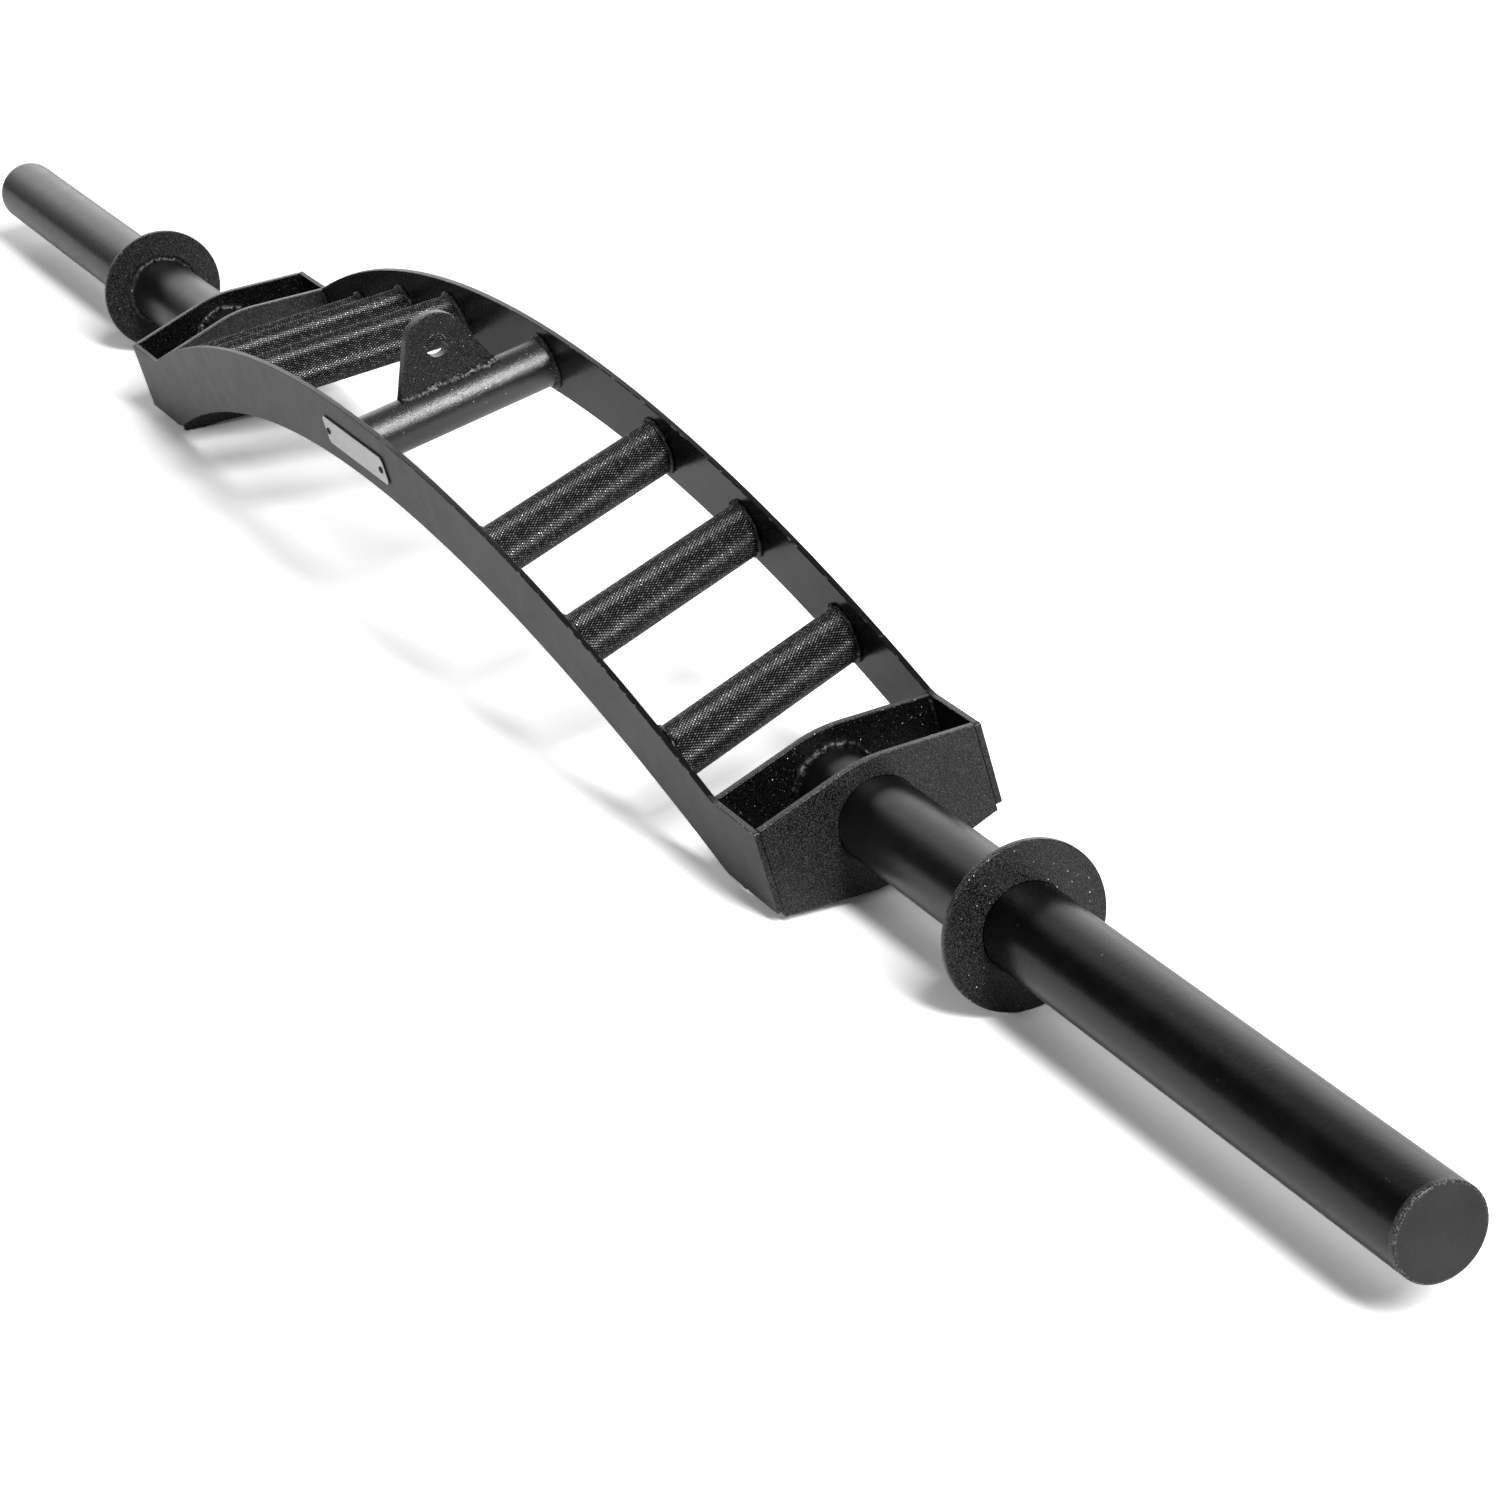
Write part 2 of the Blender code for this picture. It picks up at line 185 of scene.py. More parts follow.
def slab(outline, middle, place, thick, radius, share=np.ones(1)):
    # a flat plate: rows run from the middle or the hole's rim out over the rounded edge and back;
    # share says how much of the rounding and of the wear each point of the outline has
    inset, depth, worn = roundedRim(thick, radius)
    rows = [place(middle, 0.0)]
    rows += [place(insetLoop(outline, i * share[:, None]), d) for i, d in zip(inset, depth)]
    rows += [place(middle, thick)]
    worn = np.concatenate(((0,), worn, (0,)))
    holed = np.ptp(middle, 0).max() > 0
    return [sheet(np.array(rows), wrapRows=holed, wrapCols=True, edge=worn[:, None] * np.resize(share, len(outline)))]


def turnedRows(profile, segments):
    # a profile of along and radius, carried round the X axis
    profile = np.asarray(profile, float)
    t = np.linspace(0, 2 * math.pi, segments, endpoint=False)
    along = np.repeat(profile[:, :1], segments, 1)
    return np.stack((along, profile[:, 1:] * np.cos(t), profile[:, 1:] * np.sin(t)), -1)


def roundedDisc(back, face, radius, ease):
    # profile of a round solid whose outer rim is rounded at its face, with one more ring just inside it
    side = 1 if face > back else -1
    s, c = quarter(rounding["steps"])
    rim = np.stack((face - side * ease * (1 - s), radius - ease * (1 - c)), -1)
    return np.vstack(((back, 0), (back, radius), rim, (face, radius - ease * 1.5), (face, 0)))


# Materials
# Effects shared by several finishes are groups, and the shader itself stays in each material.


def newGroup(name, inputs, outputs):
    tree = bpy.data.node_groups.new(name, "ShaderNodeTree")
    for label, kind, value in inputs:
        socket = tree.interface.new_socket(label, in_out="INPUT", socket_type=kind)
        socket.default_value = value
    for label, kind in outputs:
        tree.interface.new_socket(label, in_out="OUTPUT", socket_type=kind)
    return tree, tree.nodes.new("NodeGroupInput"), tree.nodes.new("NodeGroupOutput")


def plug(tree, socket, value):
    # a number or a colour is set on the socket, and anything else is linked to it
    if isinstance(value, (int, float)):
        socket.default_value = value
    elif isinstance(value, tuple):
        socket.default_value = (*value, 1)
    else:
        tree.links.new(value, socket)


def sums(tree, operation, a, b, clamp=False):
    node = tree.nodes.new("ShaderNodeMath")
    node.operation = operation
    node.use_clamp = clamp
    plug(tree, node.inputs[0], a)
    plug(tree, node.inputs[1], b)
    return node.outputs[0]


def mixColour(tree, factor, a, b):
    node = tree.nodes.new("ShaderNodeMix")
    node.data_type = "RGBA"
    for index, value in ((0, factor), (6, a), (7, b)):
        plug(tree, node.inputs[index], value)
    return node.outputs[2]


def noise(tree, vector, scale, detail=2.0, roughness=0.5):
    # soft cloudy values between 0 and 1
    node = tree.nodes.new("ShaderNodeTexNoise")
    node.inputs["Detail"].default_value = detail
    node.inputs["Roughness"].default_value = roughness
    plug(tree, node.inputs["Scale"], scale)
    tree.links.new(vector, node.inputs["Vector"])
    return node.outputs["Fac"]


def stretch(tree, value, low, high, outLow=0.0, outHigh=1.0):
    # the value's range from low to high is spread over the new range, and held at its ends
    node = tree.nodes.new("ShaderNodeMapRange")
    for label, number in zip(("From Min", "From Max", "To Min", "To Max"), (low, high, outLow, outHigh)):
        plug(tree, node.inputs[label], number)
    tree.links.new(value, node.inputs["Value"])
    return node.outputs["Result"]


coatEffects = {
    "glintSpread": 2.5,  # the higher, the fewer painted glints are bright
    "wearFade": 0.15, "wearDetail": (4.0, 0.6),
    "mottleScale": 45.0, "mottleDetail": (5.0, 0.6), "mottleRange": (0.3, 0.7),
    "grainDetail": (2.0, 0.6), "grainRange": (0.44, 0.66), "peelDetail": 1.0,
    "faintGlintFiner": 1.6, "faintGlintSize": 0.34,  # the faint painted glints against the bright ones
}


def makePaintedGlintGroup():
    # Painted glints: small bright specks of colour stand in for the coat's sparkle. A cell pattern gives each
    # cell random values. The few cells below the share hold a dot round their middle, each with its own strength.
    tree, entry, out = newGroup(
        "PaintedGlints",
        (("Vector", "NodeSocketVector", (0, 0, 0)), ("Scale", "NodeSocketFloat", 1000.0),
         ("Share", "NodeSocketFloat", 0.05), ("Size", "NodeSocketFloat", 0.3)),
        (("Mask", "NodeSocketFloat"),),
    )
    cells = tree.nodes.new("ShaderNodeTexVoronoi")
    tree.links.new(entry.outputs["Vector"], cells.inputs["Vector"])
    tree.links.new(entry.outputs["Scale"], cells.inputs["Scale"])
    split = tree.nodes.new("ShaderNodeSeparateColor")
    tree.links.new(cells.outputs["Color"], split.inputs[0])
    chosen = sums(tree, "LESS_THAN", split.outputs[0], entry.outputs["Share"])
    dot = sums(tree, "LESS_THAN", cells.outputs["Distance"], entry.outputs["Size"])
    lit = sums(tree, "POWER", split.outputs[1], coatEffects["glintSpread"])
    mask = sums(tree, "MULTIPLY", sums(tree, "MULTIPLY", chosen, dot), lit)
    tree.links.new(mask, out.inputs["Mask"])
    return tree


def makeWearGroup():
    # Bare patches on edges: noise is cut off at a level that the amount lowers, times the edge attribute.
    tree, entry, out = newGroup(
        "EdgeWear",
        (("Vector", "NodeSocketVector", (0, 0, 0)), ("Edge", "NodeSocketFloat", 0.0),
         ("Amount", "NodeSocketFloat", 0.5), ("Scale", "NodeSocketFloat", 300.0)),
        (("Mask", "NodeSocketFloat"),),
    )
    rough = noise(tree, entry.outputs["Vector"], entry.outputs["Scale"], *coatEffects["wearDetail"])
    level = sums(tree, "SUBTRACT", 1.0, entry.outputs["Amount"])
    patch = stretch(tree, rough, level, sums(tree, "ADD", level, coatEffects["wearFade"]))
    tree.links.new(sums(tree, "MULTIPLY", patch, entry.outputs["Edge"]), out.inputs["Mask"])
    return tree


def makeSkinGroup():
    # The coat's surface: slow orange peel plus fine grain is one height. The grain alone and a slow
    # mottle come out beside it.
    tree, entry, out = newGroup(
        "CoatSkin",
        (("Vector", "NodeSocketVector", (0, 0, 0)), ("Peel Scale", "NodeSocketFloat", 400.0),
         ("Grain Scale", "NodeSocketFloat", 2000.0), ("Grain", "NodeSocketFloat", 0.5)),
        (("Height", "NodeSocketFloat"), ("Grain", "NodeSocketFloat"), ("Mottle", "NodeSocketFloat")),
    )
    peel = noise(tree, entry.outputs["Vector"], entry.outputs["Peel Scale"], coatEffects["peelDetail"])
    grain = noise(tree, entry.outputs["Vector"], entry.outputs["Grain Scale"], *coatEffects["grainDetail"])
    fine = sums(tree, "MULTIPLY", grain, entry.outputs["Grain"])
    tree.links.new(sums(tree, "ADD", peel, fine), out.inputs["Height"])
    tree.links.new(stretch(tree, grain, *coatEffects["grainRange"]), out.inputs["Grain"])
    slow = noise(tree, entry.outputs["Vector"], coatEffects["mottleScale"], *coatEffects["mottleDetail"])
    tree.links.new(stretch(tree, slow, *coatEffects["mottleRange"]), out.inputs["Mottle"])
    return tree


paintedGlints, wear, skin = makePaintedGlintGroup(), makeWearGroup(), makeSkinGroup()


def useGroup(tree, group, vector, **values):
    # a shared effect placed in a material, with the material's own values
    node = tree.nodes.new("ShaderNodeGroup")
    node.node_tree = group
    tree.links.new(vector, node.inputs["Vector"])
    for label, value in values.items():
        plug(tree, node.inputs[label.replace("_", " ")], value)
    return node.outputs


def startMaterial(name):
    material = bpy.data.materials.new(name)
    material.use_nodes = True
    tree = material.node_tree
    return material, tree, tree.nodes["Principled BSDF"], tree.nodes.new("ShaderNodeTexCoord").outputs["Object"]


def attribute(tree, name):
    node = tree.nodes.new("ShaderNodeAttribute")
    node.attribute_name = name
    return node.outputs["Fac"]


def bump(tree, shader, height, distance):
    node = tree.nodes.new("ShaderNodeBump")
    node.inputs["Distance"].default_value = distance
    tree.links.new(height, node.inputs["Height"])
    tree.links.new(node.outputs["Normal"], shader.inputs["Normal"])


def coatedSteel(name, look):
    # Dark coat over steel: grain between two darks, the mottle on top, then faint and bright specks that are
    # painted glints, then bare edges.
    material, tree, shader, place = startMaterial(name)
    film = useGroup(tree, skin, place, Peel_Scale=look["peelScale"], Grain_Scale=look["grainScale"],
                    Grain=look["grain"])
    colour = mixColour(tree, film["Grain"], look["dark"], look["light"])
    colour = mixColour(tree, sums(tree, "MULTIPLY", film["Mottle"], look["cloud"]), colour, look["cloudColour"])
    faint = useGroup(tree, paintedGlints, place, Scale=look["glintScale"] * coatEffects["faintGlintFiner"],
                     Share=look["faintGlintShare"], Size=coatEffects["faintGlintSize"])
    colour = mixColour(tree, faint["Mask"], colour, look["faintPaintedGlintColour"])
    bright = useGroup(tree, paintedGlints, place, Scale=look["glintScale"], Share=look["glintShare"],
                      Size=look["glintSize"])
    colour = mixColour(tree, bright["Mask"], colour, look["paintedGlintColour"])
    bare = useGroup(tree, wear, place, Edge=attribute(tree, "edge"), Amount=look["wear"],
                    Scale=look["wearScale"])
    colour = mixColour(tree, bare["Mask"], colour, look["wornColour"])
    tree.links.new(colour, shader.inputs["Base Color"])
    tree.links.new(stretch(tree, film["Mottle"], 0.0, 1.0, *look["rough"]), shader.inputs["Roughness"])
    shader.inputs["IOR"].default_value = look["ior"]
    bump(tree, shader, film["Height"], look["depth"])
    return material


# In each look, the bright and the faint speck colours are painted glints.
satinLook = {
    "dark": (0.0008, 0.0008, 0.0008), "light": (0.0016, 0.0016, 0.0016), "rough": (0.24, 0.30), "ior": 1.38,
    "cloud": 0.5, "cloudColour": (0.003, 0.003, 0.003),
    "peelScale": 350.0, "grainScale": 2500.0, "grain": 0.3, "depth": 0.00005,
    "glintScale": 260.0, "glintShare": 0.012, "glintSize": 0.1, "paintedGlintColour": (0.6, 0.6, 0.6),
    "faintGlintShare": 0.02, "faintPaintedGlintColour": (0.03, 0.03, 0.03),
    "wear": 0.46, "wearScale": 160.0, "wornColour": (0.25, 0.25, 0.25),
}
powderLook = {
    "dark": (0.0003, 0.0003, 0.0003), "light": (0.078, 0.078, 0.078), "rough": (0.20, 0.26), "ior": 1.46,
    "cloud": 0.25, "cloudColour": (0.004, 0.004, 0.004),
    "peelScale": 700.0, "grainScale": 1300.0, "grain": 1.4, "depth": 0.00013,
    "glintScale": 800.0, "glintShare": 0.022, "glintSize": 0.3, "paintedGlintColour": (0.95, 0.95, 0.95),
    "faintGlintShare": 0.08, "faintPaintedGlintColour": (0.2, 0.2, 0.2),
    "wear": 0.42, "wearScale": 420.0, "wornColour": (0.16, 0.16, 0.16),
}
tubeLook = dict(powderLook, light=(0.03, 0.03, 0.03), rough=(0.22, 0.28), ior=1.95, faintGlintShare=0.16, depth=0.0001,
                peelScale=1100.0, grainScale=2300.0)
# a darker copy of the speckled coat for the faces inside the end boxes: painted shade
boxShadeLook = dict(powderLook, light=(0.016, 0.016, 0.016), glintShare=0.02, faintGlintShare=0.06, ior=1.35)
capLook = dict(satinLook, dark=(0.02, 0.02, 0.02), light=(0.03, 0.03, 0.03), cloud=0.7,
               cloudColour=(0.045, 0.045, 0.045), wear=0.5, wornColour=(0.25, 0.25, 0.25), wearScale=900.0)
railLook = dict(satinLook, rough=(0.34, 0.40))
slickLook = dict(satinLook, ior=1.28, rough=(0.19, 0.25))
innerLook = dict(satinLook, ior=1.5, rough=(0.28, 0.34))
dullLook = dict(satinLook, ior=1.2, rough=(0.5, 0.6))
beadLook = {
    "dark": (0.001, 0.001, 0.001), "light": (0.008, 0.008, 0.008), "rough": (0.28, 0.36), "ior": 1.5,
    "cloud": 0.3, "cloudColour": (0.004, 0.004, 0.004),
    "peelScale": 500.0, "grainScale": 1400.0, "grain": 0.6, "depth": 0.0003,
    "glintScale": 1100.0, "glintShare": 0.015, "glintSize": 0.26, "paintedGlintColour": (0.7, 0.7, 0.7),
    "faintGlintShare": 0.05, "faintPaintedGlintColour": (0.08, 0.08, 0.08),
    "wear": 0.25, "wearScale": 600.0, "wornColour": (0.2, 0.2, 0.2),
}
satin = coatedSteel("satin_coat", satinLook)
railSatin = coatedSteel("satin_rails", railLook)
slickSatin = coatedSteel("satin_inside_rails", slickLook)
innerSatin = coatedSteel("satin_near_plates", innerLook)
dullSatin = coatedSteel("satin_in_the_box", dullLook)
powder = coatedSteel("speckled_coat", powderLook)
tubeCoat = coatedSteel("speckled_gloss", tubeLook)
boxShadeCoat = coatedSteel("speckled_inside_painted_shade", boxShadeLook)
capCoat = coatedSteel("brushed_cap", capLook)
beadCoat = coatedSteel("coated_bead", beadLook)
brightBead = coatedSteel("rubbed_bead", dict(beadLook, wear=0.5, wornColour=(0.6, 0.6, 0.6)))

knurlLook = {
    "dark": (0.0008, 0.0008, 0.0008), "light": (0.002, 0.002, 0.002), "tipWearAndGlint": (0.9, 0.9, 0.9),
    "rough": (0.18, 0.24), "ior": 1.38, "metallic": 0.9, "narrow": 1.4,
    "cloudScale": 60.0, "grainScale": 2600.0, "depth": 0.00005,
}


def knurledSteel(name, look):
    # black grooves, and diamonds whose tips are rubbed bare and carry painted glints, some much more than others
    material, tree, shader, place = startMaterial(name)
    slow = noise(tree, place, look["cloudScale"], 4.0, 0.6)
    colour = mixColour(tree, slow, look["dark"], look["light"])
    tipWearAndGlint = sums(tree, "POWER", attribute(tree, "glint"), look["narrow"])
    colour = mixColour(tree, tipWearAndGlint, colour, look["tipWearAndGlint"])
    tree.links.new(colour, shader.inputs["Base Color"])
    tree.links.new(stretch(tree, slow, 0.25, 0.75, *look["rough"]), shader.inputs["Roughness"])
    tree.links.new(sums(tree, "MULTIPLY", tipWearAndGlint, look["metallic"]), shader.inputs["Metallic"])
    shader.inputs["IOR"].default_value = look["ior"]
    bump(tree, shader, noise(tree, place, look["grainScale"]), look["depth"])
    return material


def brushedPlate(name, look):
    # bright metal with fine scratches drawn out along the plate
    material, tree, shader, place = startMaterial(name)
    drawn = tree.nodes.new("ShaderNodeMapping")
    drawn.inputs["Scale"].default_value = (look["drawn"], 1, 1)
    tree.links.new(place, drawn.inputs["Vector"])
    lines = noise(tree, drawn.outputs[0], look["lineScale"], 3.0, 0.6)
    cloud = noise(tree, place, look["cloudScale"], 3.0)
    colour = mixColour(tree, stretch(tree, lines, 0.3, 0.7), look["dark"], look["light"])
    rim = useGroup(tree, wear, place, Edge=attribute(tree, "edge"), Amount=look["wear"], Scale=look["wearScale"])
    colour = mixColour(tree, rim["Mask"], colour, look["rim"])
    tree.links.new(colour, shader.inputs["Base Color"])
    tree.links.new(stretch(tree, cloud, 0.3, 0.7, *look["rough"]), shader.inputs["Roughness"])
    shader.inputs["Metallic"].default_value = look["metallic"]
    bump(tree, shader, lines, look["depth"])
    return material


plateLook = {
    "dark": (0.5, 0.5, 0.5), "light": (0.8, 0.8, 0.79), "rim": (0.9, 0.9, 0.9),
    "rough": (0.3, 0.45), "metallic": 0.7, "depth": 0.00002,
    "drawn": 0.04, "lineScale": 5000.0, "cloudScale": 160.0, "wear": 0.5, "wearScale": 500.0,
}
knurled = knurledSteel("knurled_coat", knurlLook)
silver = brushedPlate("bare_plate", plateLook)
print("materials made")

# Rails
facing = 0.7  # how much of a face's direction has to point one way to count as facing it
railShape = {
    "thick": 0.0036, "halfWidth": 0.0715, "end": 0.5367, "top": 0.026, "bottom": -0.0256,
    "crown": 0.1253, "archRadius": 1.2243, "band": 0.0482, "underRadius": 1.1436,
    "fillet": 0.025, "topCorner": 0.0016, "lowCorner": 0.0016, "rim": 0.0005, "stations": 420, "cornerSteps": 7,
    "seam": 0.25,  # what is left of rounding and wear where a plate's face touches
}
plateShape = {
    "thick": 0.0048, "innerX": 0.4804, "edgeTop": 0.0262, "crestTop": 0.0364, "topHalf": 0.014,
    "outerLow": (-0.0288, -0.0405), "innerLow": (-0.0330, -0.0426), "lowHalf": 0.021, "rim": 0.0007,
    "across": 61, "up": 14,  # points along an edge
    "seam": 0.2,  # what is left of rounding and wear where a rail touches
}
railInner = railShape["halfWidth"] - railShape["thick"]
reach = railInner - touch["gap"]
archCentre = railShape["crown"] - railShape["archRadius"]
underCentre = railShape["crown"] - railShape["band"] - railShape["underRadius"]


def risingEdge(x, level, centre, radius, corner):
    # a level line, then a fillet, then the arch's circle; the far end drops in a small round corner
    x = np.abs(x)
    fillet = railShape["fillet"]
    fz = level + fillet
    fx = math.sqrt((radius + fillet) ** 2 - (fz - centre) ** 2)
    meet = fx - fillet * fx / (radius + fillet)
    arch = centre + np.sqrt(np.maximum(radius ** 2 - x ** 2, 0))
    bend = fz - np.sqrt(np.maximum(fillet ** 2 - (x - fx) ** 2, 0))
    z = np.where(x < meet, arch, np.where(x < fx, bend, level))
    past = np.maximum(x - (railShape["end"] - abs(corner)), 0)
    drop = abs(corner) - np.sqrt(np.maximum(corner ** 2 - past ** 2, 0))
    return z - math.copysign(1, corner) * drop


def railEdges(x):
    # the upper and the lower edge, each with its own arch; the lower one's corner turns up
    top = risingEdge(x, railShape["top"], archCentre, railShape["archRadius"], railShape["topCorner"])
    low = risingEdge(x, railShape["bottom"], underCentre, railShape["underRadius"], -railShape["lowCorner"])
    return top, low


def bandMiddle(x):
    # halfway between the two edges
    top, low = railEdges(np.array((x,)))
    return float(top[0] + low[0]) / 2


def makeRail(name, side):
    # stations along the bar, closer together at the ends, with the upper and the lower edge at each
    end, corner = railShape["end"], railShape["lowCorner"]
    s, c = quarter(railShape["cornerSteps"])
    ends = end - corner * (1 - s)
    x = np.concatenate((-ends[::-1], np.linspace(-end + corner, end - corner, railShape["stations"])[1:-1], ends))
    top, low = railEdges(x)
    outline = np.concatenate((np.stack((x, low), -1), np.stack((x, top), -1)[::-1]))
    inset, depth, worn = roundedRim(railShape["thick"], railShape["rim"])
    near = side * railInner

    def place(loop, d):
        return np.stack((loop[:, 0], np.full(len(loop), near + side * d), loop[:, 1]), -1)

    share = np.where(np.abs(outline[:, :1]) > end - corner, railShape["seam"], 1.0)
    rows = np.array([place(insetLoop(outline, i * share), d) for i, d in zip(inset, depth)])
    parts = [sheet(rows, wrapCols=True, edge=worn[:, None] * share[:, 0])]
    count = len(x)
    for row in (rows[0], rows[-1]):
        lower, upper = row[:count], row[count:][::-1]
        across = np.linspace(0, 1, 5)[:, None, None]
        parts.append(sheet(lower * (1 - across) + upper * across))
    rail = closedPiece(name, parts, railSatin, (name.replace("side_", "rail_"),))
    box = plateShape["innerX"] + plateShape["thick"]
    secondFinish(rail, slickSatin, lambda middle, normal: normal[:, 1] * side < -facing)
    secondFinish(rail, dullSatin, lambda middle, normal: (normal[:, 1] * side < -facing)
                 & (np.abs(middle[:, 0]) > box))
    secondFinish(rail, powder, lambda middle, normal: (np.abs(normal[:, 0]) > facing)
                 | ((normal[:, 2] > facing) & (middle[:, 0] > plateShape["innerX"])))
    return rail


makeRail("side_front", -1)
makeRail("side_back", 1)
print("rails made")

# End plates and lug
sleeveShape = {
    "radius": 0.025, "end": 1.063, "capThick": 0.004, "capEase": 0.0011,
    "collarRadius": 0.0473, "collarThick": 0.004, "collarFace": 0.6975, "rim": 0.0007,
    "underCollar": 0.001, "segments": 160,
}


def crested(y, edge, crest, half):
    # two straight slopes from the edges up or down to a crest, rounded there by a parabola
    slope = (crest - edge) / (reach - half / 2)
    away = np.where(np.abs(y) > half, np.abs(y) - half / 2, y * y / (2 * half))
    return crest - slope * away


def makeEndPlate(name, node, x0, x1, low, hole):
    # two crested edges joined by straight sides; the middle is a point, or the hole's rim
    y = np.linspace(-reach, reach, plateShape["across"])
    lower = np.stack((y, crested(y, *low, plateShape["lowHalf"])), -1)
    upper = np.stack((y, crested(y, plateShape["edgeTop"], plateShape["crestTop"], plateShape["topHalf"])), -1)
    up = np.linspace(0, 1, plateShape["up"])[1:-1, None]
    right = lower[-1] * (1 - up) + upper[-1] * up
    left = upper[0] * (1 - up) + lower[0] * up
    outline = np.concatenate((lower, right, upper[::-1], left))
    middle = outline * hole / np.linalg.norm(outline, axis=1, keepdims=True)
    side = math.copysign(1, x1 - x0)

    def place(loop, d):
        return np.stack((np.full(len(loop), x0 + side * d), loop[:, 0], loop[:, 1]), -1)

    share = np.where(np.abs(outline[:, 0]) > reach - 1e-6, plateShape["seam"], 1.0)
    parts = slab(outline, middle, place, abs(x1 - x0), plateShape["rim"], share)
    return closedPiece(name, parts, powder, (node,))


lugShape = {
    "thick": 0.008, "holeHeight": 0.1415, "holeRadius": 0.0078, "topRadius": 0.0212, "foot": 0.034,
    "rim": 0.0009, "round": 61, "up": 24, "across": 40,
}
tubeShape = {"radius": 0.0163, "height": 0.0994, "segments": 128}


def makeLug(name):
    # straight sides rise from the feet and touch a circle round the hole
    r = lugShape["topRadius"]
    base = tubeShape["height"] + tubeShape["radius"] + touch["gap"]
    foot = np.array((lugShape["foot"], base - lugShape["holeHeight"]))
    tangent = math.atan2(foot[1], foot[0]) + math.acos(r / np.linalg.norm(foot))
    t = np.linspace(tangent, math.pi - tangent, lugShape["round"])
    top = np.stack((r * np.cos(t), r * np.sin(t)), -1)
    run = np.linspace(0, 1, lugShape["up"], endpoint=False)[:, None]
    right = foot * (1 - run) + top[0] * run
    left = (right * (-1, 1))[::-1]
    across = np.linspace(-foot[0], foot[0], lugShape["across"])[1:-1]
    bottom = np.stack((across, np.full(len(across), foot[1])), -1)
    outline = np.concatenate((right, top, left, bottom))
    middle = outline * lugShape["holeRadius"] / np.linalg.norm(outline, axis=1, keepdims=True)
    thick = lugShape["thick"]

    def place(loop, d):
        return np.stack((np.full(len(loop), d - thick / 2), loop[:, 0], loop[:, 1] + lugShape["holeHeight"]), -1)

    parts = slab(outline, middle, place, thick, lugShape["rim"])
    return closedPiece(name, parts, powder, ("lug_plate",))


makeLug("lug")
for side, word in ((1, "right"), (-1, "left")):
    inner, outer, thick = side * plateShape["innerX"], side * railShape["end"], side * plateShape["thick"]
    # the plates' faces inside the box take the darker copy of the coat, which is painted shade
    plate = makeEndPlate("inner_plate_" + word, "plate_inner_" + word, inner, inner + thick,
                         plateShape["innerLow"], 0.0)
    secondFinish(plate, boxShadeCoat, lambda middle, normal: normal[:, 0] * side > facing)
    plate = makeEndPlate("outer_plate_" + word, "plate_outer_" + word, outer - thick, outer,
                         plateShape["outerLow"], sleeveShape["radius"] + touch["gap"])
    secondFinish(plate, boxShadeCoat, lambda middle, normal: normal[:, 0] * side < -facing)
print("plates and lug made")

# Sleeves, caps, collars and the centre tube


def makeTurned(name, node, profile, rubbed, material):
    # The profile runs from one pole or rim to the other and is carried round the bar. Where it is
    # rubbed, all its points count as edges but two at each end.
    rows = turnedRows(profile, sleeveShape["segments"])
    worn = np.full((len(profile), 1), float(rubbed))
    worn[:2] = worn[-2:] = 0
    ring = bool(profile[0][1] > 0)
    return closedPiece(name, [sheet(rows, wrapRows=ring, wrapCols=True, edge=worn)], material, (node,))


def makeCollar(name, node, back, face):
    side = 1 if face > back else -1
    # a flat ring whose two outer rims are rounded
    s, c = quarter(rounding["steps"])
    r, ease, near = sleeveShape["collarRadius"], sleeveShape["rim"], sleeveShape["radius"] + touch["gap"]
    first = np.stack((back + side * ease * (1 - c), r - ease * (1 - s)), -1)
    second = np.stack((face - side * ease * (1 - s), r - ease * (1 - c)), -1)
    flat = r - ease * 1.6
    profile = np.vstack(((back, near), (back, flat), first, second, (face, flat), (face, near)))
    return makeTurned(name, node, profile, True, powder)


for side, word in ((1, "right"), (-1, "left")):
    start = side * (plateShape["innerX"] + plateShape["thick"] + touch["gap"])
    stop = side * (sleeveShape["end"] - sleeveShape["capThick"])
    r = sleeveShape["radius"]
    collar = side * (sleeveShape["collarFace"] - sleeveShape["underCollar"])
    sleeve = np.array(((start, 0), (start, r), (collar, r), (stop, r), (stop, 0)))
    tube = makeTurned("bar_sleeve_" + word, "sleeve_" + word, sleeve, False, satin)
    secondFinish(tube, innerSatin, lambda middle, normal: np.abs(middle[:, 0]) < sleeveShape["collarFace"])
    cap = roundedDisc(stop, side * sleeveShape["end"], r, sleeveShape["capEase"])
    makeTurned("sleeve_cap_" + word, "end_cap_" + word, cap, True, capCoat)
    face = side * sleeveShape["collarFace"]
    makeCollar("flange_" + word, "collar_" + word, face - side * sleeveShape["collarThick"], face)


def makeTube(name):
    # a round bar between the rails: it is turned along X, then X and Y change places
    r = tubeShape["radius"]
    rows = turnedRows(((-reach, 0), (-reach, r), (reach, r), (reach, 0)), tubeShape["segments"])
    rows = np.stack((rows[..., 1], rows[..., 0], rows[..., 2] + tubeShape["height"]), -1)
    return closedPiece(name, [sheet(rows, wrapCols=True)], tubeCoat, ("cross_tube",))


makeTube("centre_tube")
print("round pieces made")

# Knurled handles
knurl = {
    "radius": 0.0167, "deep": 0.00042, "around": 59, "along": 0.00333, "cut": 4, "flatTop": 1.12,
    "yaw": 17, "spots": {"inner": 0.186, "middle": 0.295, "outer": 0.404},
    "litAbove": 0.8, "leastLit": 0.25, "litSpread": 2.5,  # which part of a diamond is rubbed and carries a painted glint, and how evenly
}


